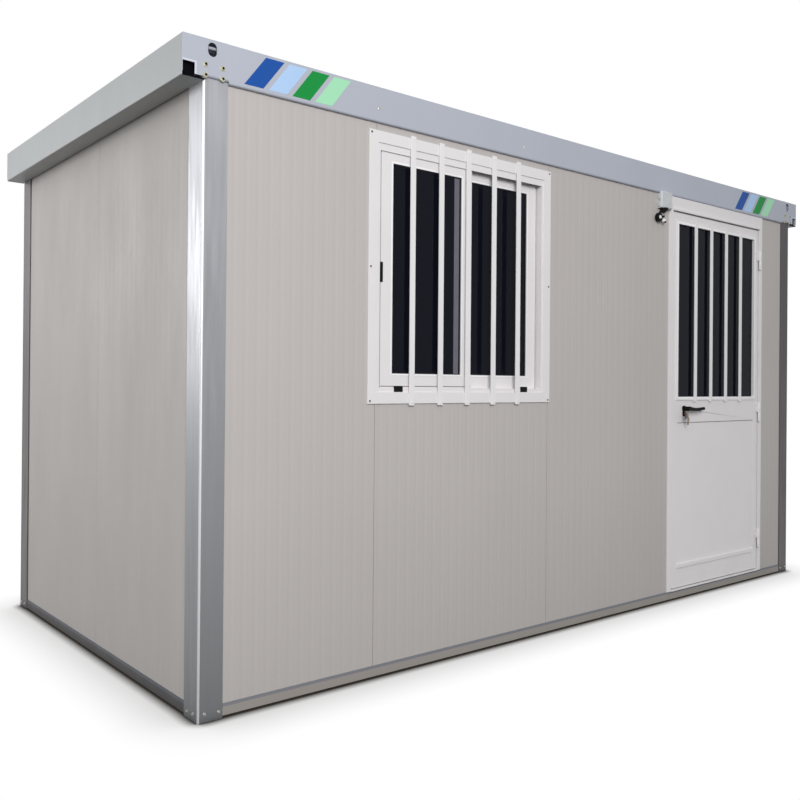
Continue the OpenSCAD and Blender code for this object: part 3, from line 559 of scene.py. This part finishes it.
# ---------- window ----------
FLANGE_SCREW_IN, FLANGE_SCREW, FLANGE_SCREW_RISE = 0.011, 0.009, 0.0016
LATCH_SIZE = (0.012, 0.006, 0.079)
LATCH_FOOT, LATCH_LEFT, LATCH_OUT = 1.556, 0.004, 0.004
DRAIN_SIZE = (0.044, 0.003, 0.024)
DRAIN_X, DRAIN_TOP, DRAIN_OUT = (0.829, 1.553), 1.146, 0.004
# The line of painted shade at the outer sash's foot: its drop below the drains' top, thickness and height
SASH_SHADE_UNDER, SASH_SHADE_THICK, SASH_SHADE_HIGH = 0.003, 0.0012, 0.0032
# Where the painted reflection on the outer glass lies: in from the left, its width, its foot and top
PAINTED_GLASS_REFLECTION_X, PAINTED_GLASS_REFLECTION_WIDE, PAINTED_GLASS_REFLECTION_UP = 1.156, 0.028, (1.195, 2.033)
# A sash's stile, and the width and thickness of the painted highlight along its inner edge
STILE, SASH_HIGHLIGHT, SASH_HIGHLIGHT_THICK = 0.058, 0.007, 0.0010
SEAL_WIDE, SEAL_THICK, GLASS_HALF = 0.004, 0.003, 0.0025


def window_fixings():
    """Screws at the flange's corners and halfway along its sides."""
    bm = bmesh.new()
    xs, zs = ([a + FLANGE_SCREW_IN, (a + b) / 2, b - FLANGE_SCREW_IN]
              for a, b in ((FLANGE_LOW.x, FLANGE_HIGH.x), (FLANGE_LOW.z, FLANGE_HIGH.z)))
    for x in xs:
        for z in zs:
            if (x, z) != (xs[1], zs[1]):
                add_dome(bm, (x, FLANGE_LOW.y, z), OUT["front"], FLANGE_SCREW, FLANGE_SCREW_RISE)
    piece("window_flange_screws", bm, DULL, "cabin")


def window_details():
    outer_low, outer_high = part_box("window_sash_left")
    sashes = ((outer_low, outer_high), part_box("window_sash_right"))
    # The latch is a black strip in the groove beside the outer sash, and the sill drains through two caps.
    black = bmesh.new()
    add_block(black, (outer_low.x - LATCH_LEFT, outer_low.y - LATCH_OUT, LATCH_FOOT), LATCH_SIZE, 0.0012)
    for x in DRAIN_X:
        add_block(black, (LEFT + x, PANEL_FACE - DRAIN_OUT, DRAIN_TOP - DRAIN_SIZE[2]), DRAIN_SIZE, 0.001)
    piece("window_latch_and_drains", black, BLACK, "cabin")
    # A grey strip of painted shade runs along the outer sash's foot.
    sash_shade = bmesh.new()
    add_block(sash_shade, (outer_low.x, outer_low.y - SASH_SHADE_THICK, DRAIN_TOP - SASH_SHADE_UNDER),
              (outer_high.x - outer_low.x, SASH_SHADE_THICK, SASH_SHADE_HIGH))
    piece("window_sash_painted_shade", sash_shade, SEAM, "cabin")
    # A grey strip on the outer glass, beside the stile at its right, is a painted reflection of that stile.
    strip = bmesh.new()
    glass_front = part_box("window_glass")[0].y
    foot, head = PAINTED_GLASS_REFLECTION_UP
    add_block(strip, (LEFT + PAINTED_GLASS_REFLECTION_X, glass_front - FILM, foot), (PAINTED_GLASS_REFLECTION_WIDE, FILM, head - foot))
    piece("window_painted_glass_reflection", strip, PAINTED_GLASS_REFLECTION, "cabin")
    # Painted highlight round each sash's inner edge, and a black seal round each pane.
    highlights, seals = bmesh.new(), bmesh.new()
    for a, b in sashes:
        highlight_in = STILE - SASH_HIGHLIGHT
        add_ring(highlights, a.x + highlight_in, b.x - highlight_in, a.z + highlight_in, b.z - highlight_in, SASH_HIGHLIGHT,
                 a.y - SASH_HIGHLIGHT_THICK, SASH_HIGHLIGHT_THICK)
        seal_front = (a.y + b.y) / 2 - GLASS_HALF - SEAL_THICK
        add_ring(seals, a.x + STILE, b.x - STILE, a.z + STILE, b.z - STILE, SEAL_WIDE, seal_front, SEAL_THICK)
    piece("window_sash_painted_highlights", highlights, WHITE_PAINTED_HIGHLIGHT, "cabin")
    piece("window_glazing_seals", seals, RUBBER, "cabin")


# ---------- grilles ----------
GRILLE_SCREW_IN, GRILLE_SCREW, GRILLE_SCREW_RISE = 0.012, 0.009, 0.0018


def bar_middles(node):
    """The x of the middle of each bar of a grille, from where its vertices are."""
    xs = sorted({round(v.co.x, 4) for v in NODES[node].data.vertices})
    return [(xs[i] + xs[i + 1]) / 2 for i in range(0, len(xs) - 1, 2)]


def grille_screws():
    """A screw at each end of each bar."""
    for node, body in (("window_grille", "cabin"), ("door_grille", "door")):
        a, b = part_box(node)
        bm = bmesh.new()
        for x in bar_middles(node):
            for z in (a.z + GRILLE_SCREW_IN, b.z - GRILLE_SCREW_IN):
                add_dome(bm, (x, a.y, z), OUT["front"], GRILLE_SCREW, GRILLE_SCREW_RISE)
        piece(node + "_screws", bm, GRILLE, body)


# ---------- door ----------
HINGE_UP = (0.246, 1.002, 1.915)
HINGE_SCREW, HINGE_SCREW_RISE, HINGE_PLATE = 0.0075, 0.0016, 0.003
FRAME_SCREW_IN, FRAME_SCREW_UP = 0.009, (-0.036, 0.0, 0.036)
LEAF_SCREW_IN, LEAF_SCREW_UP = 0.010, (0.012, 0.042)
GLASS_EDGE, DOOR_HIGHLIGHT = 0.008, 0.013
MOULDING_PROUD, BEAD_PROUD = 0.007, 0.004
# The lock rail's foot, and the height and inset of the line of painted shade under it
LOCK_RAIL_FOOT, SEAM_HIGH, SEAM_IN = 0.957, 0.0035, 0.008


def hinge_screws():
    """Screws in the hinges' plates on the frame and on the leaf, up and down from each hinge's middle."""
    fixed, moving = bmesh.new(), bmesh.new()
    fixed_high = high("door_hinges")
    moving_low, moving_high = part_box("door_hinge_leaves")
    fixed_x, fixed_y = fixed_high.x - FRAME_SCREW_IN, fixed_high.y - HINGE_PLATE
    moving_x, moving_y = moving_low.x + LEAF_SCREW_IN, moving_high.y - HINGE_PLATE
    for z in HINGE_UP:
        for dz in FRAME_SCREW_UP:
            add_dome(fixed, (fixed_x, fixed_y, z + dz), OUT["front"], HINGE_SCREW, HINGE_SCREW_RISE)
        for dz in LEAF_SCREW_UP:
            add_dome(moving, (moving_x, moving_y, z + dz), OUT["front"], HINGE_SCREW, HINGE_SCREW_RISE)
    piece("hinge_screws_frame", fixed, ZINC, "cabin")
    piece("hinge_screws_leaf", moving, ZINC, "door")


def door_bead():
    """Painted highlight on the bead round the door's glass, and painted shade on the seam under the lock
    rail.
    """
    # Under the lock rail, a grey line of painted shade along a real seam.
    seam = bmesh.new()
    infill_low, infill_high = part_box("door_infill")
    add_block(seam, (infill_low.x + SEAM_IN, infill_low.y - FILM, LOCK_RAIL_FOOT - SEAM_HIGH),
              (infill_high.x - infill_low.x - 2 * SEAM_IN, FILM, SEAM_HIGH))
    piece("door_lock_rail_painted_shade", seam, SEAM, "door")
    highlights = bmesh.new()
    glass_low, glass_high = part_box("door_glass")
    edge = GLASS_EDGE - DOOR_HIGHLIGHT
    add_ring(highlights, glass_low.x + edge, glass_high.x - edge, glass_low.z + edge, glass_high.z - edge, DOOR_HIGHLIGHT,
             LEAF_FACE + MOULDING_PROUD - BEAD_PROUD - FILM, FILM)
    piece("door_bead_painted_highlight", highlights, WHITE_PAINTED_HIGHLIGHT, "door")


# Where the bunch hangs: left of the lock plate's middle, in front of it and above its foot
BUNCH_LEFT, BUNCH_OUT, BUNCH_UP = 0.010, 0.012, 0.0125
# Each key's metal, its shank's place in the bunch, its swing and half its bow's length
KEYS = (("brass", (-0.006, 0, 0.014), 0.0, 0.018), ("grey", (-0.018, -0.002, 0.004), 0.25, 0.016),
        ("brass", (-0.004, -0.003, -0.016), -0.1, 0.014))
BLADE_PLACE, BLADE_SIZE = (-0.008, -0.013, -0.058), (0.011, 0.002, 0.026)
SHANK_ROUND, SHANK_LONG, SHANK_IN = 0.003, 0.016, 0.004
BOW_HALF, BOW_OUT, BOW_THICK, BOW_STEPS = 0.010, 0.010, 0.0022, 20
PLUG_RIGHT, PLUG_ROUND, PLUG_LONG = 0.004, 0.004, 0.014


def keys():
    """A plug in the lock, below the lever, with three keys and a blade hanging from it."""
    lock_low, lock_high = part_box("door_lock")
    middle = (lock_low.x + lock_high.x) / 2
    bunch = Vector((middle - BUNCH_LEFT, lock_low.y - BUNCH_OUT, lock_low.z + BUNCH_UP))
    metals = {"brass": bmesh.new(), "grey": bmesh.new()}
    add_lathe(metals["grey"], bunch + Vector((PLUG_RIGHT, BUNCH_OUT, 0)), OUT["front"],
              [(PLUG_ROUND, 0), (PLUG_ROUND, PLUG_LONG), (0, PLUG_LONG)], 12)
    for metal, place, swing, half in KEYS:
        add_key(metals[metal], bunch + Vector(place), swing, half)
    add_block(metals["grey"], bunch + Vector(BLADE_PLACE), BLADE_SIZE, 0.0006)
    piece("key_brass", metals["brass"], BRASS, "door")
    piece("key_grey", metals["grey"], STEEL, "door")


def add_key(bm, place, swing, half):
    """A key's shank, with an oval bow that hangs from it and is swung about it; half is half its length."""
    add_lathe(bm, place + Vector((0, SHANK_IN, 0)), OUT["front"],
              [(SHANK_ROUND, 0), (SHANK_ROUND, SHANK_LONG), (0, SHANK_LONG)], 12)
    turn = Matrix.Rotation(swing, 4, "Y")
    angles = [math.tau * i / BOW_STEPS for i in range(BOW_STEPS)]
    bow = [(BOW_HALF * math.cos(t), half * math.sin(t) - half) for t in angles]
    add_prism(bm, bow, lambda u, v, w: place + turn @ Vector((u, -BOW_OUT - BOW_THICK * w, v)), 0.0004)


# ---------- inlet ----------
# The seam round the box's lid: back from its front, in from its left side, past its right, up from its foot
# and down from its top
LID_SEAM_BACK, LID_SEAM_THICK = 0.016, 0.0012
LID_SEAM_LEFT, LID_SEAM_PAST, LID_SEAM_UP, LID_SEAM_DOWN = 0.0035, 0.0003, 0.004, 0.012
# The cap's middle from its low corner, and places from that middle or from the box's low corner
CAP_MIDDLE = Vector((0.023, 0, 0.023))
DISC_PLACE, CLIP_PLACE, CLIP_AXIS = (0, 0.0052, 0), (0.026, 0.009, -0.016), (0.5, -0.8, 0.2)
SPOUT_PLACE = (0.044, 0.016, 0.001)
DISC = ((0.0095, 0), (0.0095, 0.0016), (0.0080, 0.0028), (0, 0.0032))
CLIP = ((0.008, 0), (0.009, 0.006), (0.006, 0.016), (0, 0.017))
SPOUT = ((0.024, 0), (0.022, 0.006), (0.008, 0.022), (0, 0.022))
# The two hooks of the strap beside the cap: place from the cap's middle, direction and profile
HOOKS = (((0.018, 0.004, 0.004), (0.4, -0.9, 0.0), ((0.006, 0), (0.006, 0.010), (0, 0.012))),
         ((0.040, 0.010, -0.020), (0.8, -0.6, 0.0), ((0.007, 0), (0.006, 0.010), (0, 0.012))))


def inlet_details():
    a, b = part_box("inlet_box")
    seam = bmesh.new()
    add_block(seam, (a.x + LID_SEAM_LEFT, a.y + LID_SEAM_BACK, a.z + LID_SEAM_UP),
              (b.x - a.x - LID_SEAM_LEFT + LID_SEAM_PAST, LID_SEAM_THICK,
               b.z - a.z - LID_SEAM_UP - LID_SEAM_DOWN))
    piece("inlet_lid_seam", seam, RUBBER, "cabin")
    middle = low("inlet_cap") + CAP_MIDDLE
    # A pale disc in the cap, and a pale clip that holds the end of the strap beside it
    pale = bmesh.new()
    add_lathe(pale, middle + Vector(DISC_PLACE), OUT["front"], DISC, 28)
    add_lathe(pale, middle + Vector(CLIP_PLACE), CLIP_AXIS, CLIP, 20)
    piece("inlet_cap_disc", pale, PALE, "cabin")
    # The box's spout narrows downwards over the strap.
    black = bmesh.new()
    add_lathe(black, a + Vector(SPOUT_PLACE), (0, 0, -1), SPOUT, 24)
    for place, axis, profile in HOOKS:
        add_lathe(black, middle + Vector(place), axis, profile, 16)
    piece("inlet_cap_hook", black, BLACK, "cabin")


# ---------- light, floor and camera ----------
AMBIENT, AMBIENT_LEVEL = (0.93, 0.96, 1.0, 1), 0.58
PURE_WHITE = (1, 1, 1, 1)


def lit(ray_kinds, tree):
    """1 for camera rays and rays of the kinds named, which see a surface as it is painted; 0 for the rest."""
    path = tree.nodes.new("ShaderNodeLightPath")
    total = path.outputs["Is Camera Ray"]
    for name in ray_kinds:
        made = tree.nodes.new("ShaderNodeMath")
        made.operation = "MAXIMUM"
        tree.links.new(total, made.inputs[0])
        tree.links.new(path.outputs[name], made.inputs[1])
        total = made.outputs[0]
    return total


def mix_shaders(tree, factor, plain, painted, output):
    mixed = tree.nodes.new("ShaderNodeMixShader")
    tree.links.new(factor, mixed.inputs[0])
    tree.links.new(plain.outputs[0], mixed.inputs[1])
    tree.links.new(painted.outputs[0], mixed.inputs[2])
    tree.links.new(mixed.outputs[0], tree.nodes[output].inputs["Surface"])


def studio_world():
    """Soft ambient light, and white where the camera looks past the floor or through glass."""
    world = bpy.data.worlds.new("studio")
    bpy.context.scene.world = world
    world.use_nodes = True
    tree = world.node_tree
    ambient = tree.nodes["Background"]
    ambient.inputs["Color"].default_value = AMBIENT
    ambient.inputs["Strength"].default_value = AMBIENT_LEVEL
    white = tree.nodes.new("ShaderNodeBackground")
    white.inputs["Color"].default_value = PURE_WHITE
    mix_shaders(tree, lit(("Is Transmission Ray",), tree), ambient, white, "World Output")


FLOOR_RADIUS, FLOOR_STEPS = 40.0, 96
FLOOR_GREY = 0.05
# The reach of each soft shadow, and how light the floor is where it is deepest
SHADOWS = ((0.050, 0.0), (0.28, 0.62))
SHADOW_START, SHADOW_SAMPLES = 0.5, 16
SHADOW_TINT = (0.030, 0.025, 0.020, 1)


def soft_shadows(tree):
    """1 on open floor, falling towards 0 close to what stands on it."""
    light = None
    for reach, least in SHADOWS:
        near = tree.nodes.new("ShaderNodeAmbientOcclusion")
        near.samples = SHADOW_SAMPLES
        near.inputs["Distance"].default_value = reach
        curve = tree.nodes.new("ShaderNodeMapRange")
        tree.links.new(near.outputs["AO"], curve.inputs["Value"])
        curve.inputs["From Min"].default_value = SHADOW_START
        curve.inputs["To Min"].default_value = least
        if light:
            both = tree.nodes.new("ShaderNodeMath")
            both.operation = "MULTIPLY"
            tree.links.new(light, both.inputs[0])
            tree.links.new(curve.outputs["Result"], both.inputs[1])
            light = both.outputs[0]
        else:
            light = curve.outputs["Result"]
    return light


def studio_floor():
    """A dark floor for the light, which the camera sees as white with soft shadows."""
    bm = bmesh.new()
    bmesh.ops.create_circle(bm, cap_ends=True, radius=FLOOR_RADIUS, segments=FLOOR_STEPS)
    mesh = bpy.data.meshes.new("floor")
    bm.to_mesh(mesh)
    bm.free()
    floor = bpy.data.objects.new("floor", mesh)
    bpy.context.scene.collection.objects.link(floor)
    material = bpy.data.materials.new("floor")
    material.use_nodes = True
    tree = material.node_tree
    tree.nodes.remove(tree.nodes["Principled BSDF"])
    grey = tree.nodes.new("ShaderNodeBsdfDiffuse")
    grey.inputs["Color"].default_value = (FLOOR_GREY, FLOOR_GREY, FLOOR_GREY, 1)
    tint = tree.nodes.new("ShaderNodeMix")
    tint.data_type = "RGBA"
    tree.links.new(soft_shadows(tree), tint.inputs[0])
    tint.inputs[6].default_value = SHADOW_TINT
    tint.inputs[7].default_value = PURE_WHITE
    white = tree.nodes.new("ShaderNodeEmission")
    tree.links.new(tint.outputs[2], white.inputs["Color"])
    mix_shaders(tree, lit(("Is Glossy Ray", "Is Transmission Ray"), tree), grey, white, "Material Output")
    mesh.materials.append(material)


def softbox(name, place, aim, size, power):
    data = bpy.data.lights.new(name, "AREA")
    data.shape = "DISK"
    data.size = size
    data.energy = power
    lamp = bpy.data.objects.new(name, data)
    lamp.location = place
    lamp.rotation_euler = (Vector(aim) - Vector(place)).to_track_quat("-Z", "Y").to_euler()
    bpy.context.scene.collection.objects.link(lamp)


def lamps():
    softbox("key", place=(-4.5, -7.5, 4.0), aim=(-0.6, -1.0, 1.4), size=4.0, power=520)
    softbox("side", place=(-6.4, 5.2, 2.6), aim=(-2.0, 0.0, 1.3), size=3.2, power=180)


CAMERA_PLACE = (-3.307, -3.777, 1.151)
CAMERA_YAW, CAMERA_PITCH, CAMERA_ROLL = 40.341, 0.18, 0.46
FOCAL_LENGTH, SENSOR = 39.43, 36.0
# The lens's axis meets the picture right of and above its middle, by these shares of its width.
AXIS_RIGHT, AXIS_UP = 0.0375, 0.0223
VIEW_FAR = 200.0


def camera():
    """Yaw turns the view from +y towards +x, pitch tips it up, and roll turns it about its own axis."""
    data = bpy.data.cameras.new("camera")
    data.sensor_width = SENSOR
    data.lens = FOCAL_LENGTH
    data.shift_x = -AXIS_RIGHT
    data.shift_y = -AXIS_UP
    data.clip_end = VIEW_FAR
    yaw, pitch, roll = (math.radians(v) for v in (CAMERA_YAW, CAMERA_PITCH, CAMERA_ROLL))
    forward = Vector((math.sin(yaw) * math.cos(pitch), math.cos(yaw) * math.cos(pitch), math.sin(pitch)))
    level = Vector((math.cos(yaw), -math.sin(yaw), 0))
    upright = level.cross(forward)
    right = math.cos(roll) * level + math.sin(roll) * upright
    up = math.cos(roll) * upright - math.sin(roll) * level
    made = bpy.data.objects.new("camera", data)
    turn = Matrix((right, up, -forward)).transposed().to_4x4()
    made.matrix_world = Matrix.Translation(CAMERA_PLACE) @ turn
    bpy.context.scene.collection.objects.link(made)
    bpy.context.scene.camera = made


camera()
studio_world()
studio_floor()
lamps()
colour_bands()
roof_fixings()
post_bolts()
post_edges()
window_fixings()
window_details()
grille_screws()
outlet_details()
hinge_screws()
door_bead()
keys()
inlet_details()

bpy.context.scene.view_settings.view_transform = "Standard"
